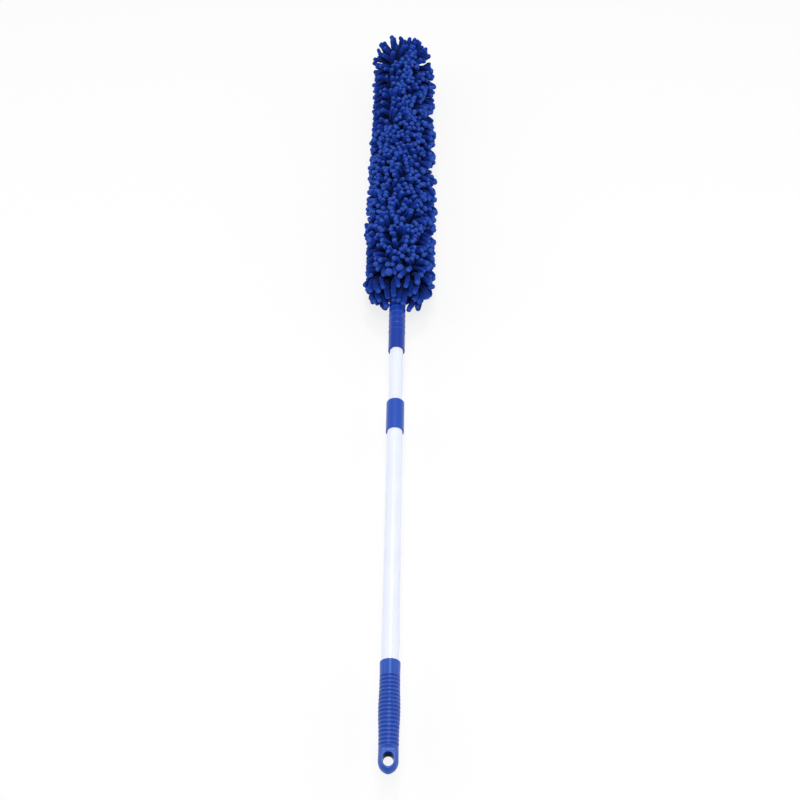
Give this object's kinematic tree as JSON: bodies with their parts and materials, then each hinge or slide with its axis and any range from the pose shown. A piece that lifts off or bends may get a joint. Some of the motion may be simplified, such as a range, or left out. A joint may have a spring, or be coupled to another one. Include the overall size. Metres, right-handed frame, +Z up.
{
  "type": "telescopic chenille duster",
  "caption": "Long-handled duster: grooved grip with hanging hole, twist-lock telescopic pole, and a bendable cylindrical head in a pull-on sleeve of blue microfibre chenille noodles.",
  "frame": {"origin": "centre of the hanging hole in the handle, at the middle of the tab's thickness and on the pole's axis", "axes": "+Y along the pole from the handle towards the head's tip, +Z up and through the hanging hole as the duster lies on a flat surface, +X to the right"},
  "size_m": [0.1, 1.2576, 0.094],
  "materials": {
    "handle_plastic": "satin blue moulding",
    "tube_paint": "smooth white lacquer",
    "collar_plastic": "satin blue moulding",
    "socket_plastic": "satin blue moulding",
    "plug_plastic": "moulded, natural",
    "nylon": "moulded, natural",
    "zinc_steel": "zinc plated",
    "wire_steel": "bright annealed wire",
    "foam": "open-cell foam in a knitted cover",
    "cuff_fabric": "gathered knitted elastic",
    "cap_rubber": "dipped rubber",
    "chenille": "plush microfibre chenille noodles"
  },
  "bodies": {
    "lower_pole": {"handle_grip": "handle_plastic", "lower_tube": "tube_paint", "lock_collar": "collar_plastic"},
    "guide": {"guide_ring": "nylon"},
    "upper_pole": {"upper_tube": "tube_paint", "lock_plug": "plug_plastic", "cam_washer": "zinc_steel", "cam_screw": "zinc_steel", "head_socket": "socket_plastic", "core_ferrule": "zinc_steel", "core_screw": "zinc_steel", "sleeve_cuff": "cuff_fabric", "core_wire_1": "wire_steel", "core_foam_1": "foam", "chenille_1": "chenille"},
    "lock_cam": {"lock_cam": "nylon"},
    "head_2": {"core_wire_2": "wire_steel", "core_foam_2": "foam", "chenille_2": "chenille"},
    "head_3": {"core_wire_3": "wire_steel", "core_foam_3": "foam", "chenille_3": "chenille"},
    "head_4": {"core_wire_4": "wire_steel", "core_foam_4": "foam", "chenille_4": "chenille"},
    "head_5": {"core_wire_5": "wire_steel", "core_foam_5": "foam", "chenille_5": "chenille"},
    "head_6": {"core_wire_6": "wire_steel", "core_foam_6": "foam", "chenille_6": "chenille", "tip_cap": "cap_rubber"}
  },
  "joints": [
    {"name": "telescope", "type": "slide", "parent": "lower_pole", "child": "guide", "axis": [0, 1, 0], "range_m": [-0.0875, 0.3105]},
    {"name": "pole_twist", "type": "hinge", "parent": "guide", "child": "upper_pole", "pos_m": [0, 0.147, 0], "axis": [0, 1, 0], "range_deg": [-90, 90]},
    {"name": "cam_spin", "type": "hinge", "parent": "upper_pole", "child": "lock_cam", "pos_m": [0.00042, 0.1345, 0], "axis": [0, 1, 0], "range_deg": [-90, 90]},
    {"name": "head_bend_1", "type": "hinge", "parent": "upper_pole", "child": "head_2", "pos_m": [0, 0.73, 0], "axis": [0, 0, 1], "range_deg": [-18, 18]},
    {"name": "head_bend_2", "type": "hinge", "parent": "head_2", "child": "head_3", "pos_m": [0, 0.826, 0], "axis": [0, 0, 1], "range_deg": [-18, 18]},
    {"name": "head_bend_3", "type": "hinge", "parent": "head_3", "child": "head_4", "pos_m": [0, 0.922, 0], "axis": [0, 0, 1], "range_deg": [-18, 18]},
    {"name": "head_bend_4", "type": "hinge", "parent": "head_4", "child": "head_5", "pos_m": [0, 1.018, 0], "axis": [0, 0, 1], "range_deg": [-18, 18]},
    {"name": "head_bend_5", "type": "hinge", "parent": "head_5", "child": "head_6", "pos_m": [0, 1.114, 0], "axis": [0, 0, 1], "range_deg": [-18, 18]}
  ],
  "couplings": [
    {"joint": "cam_spin", "follows": "pole_twist", "ratio": -1},
    {"joint": "head_bend_2", "follows": "head_bend_1", "ratio": 1},
    {"joint": "head_bend_3", "follows": "head_bend_1", "ratio": 1},
    {"joint": "head_bend_4", "follows": "head_bend_1", "ratio": 1},
    {"joint": "head_bend_5", "follows": "head_bend_1", "ratio": 1}
  ]
}
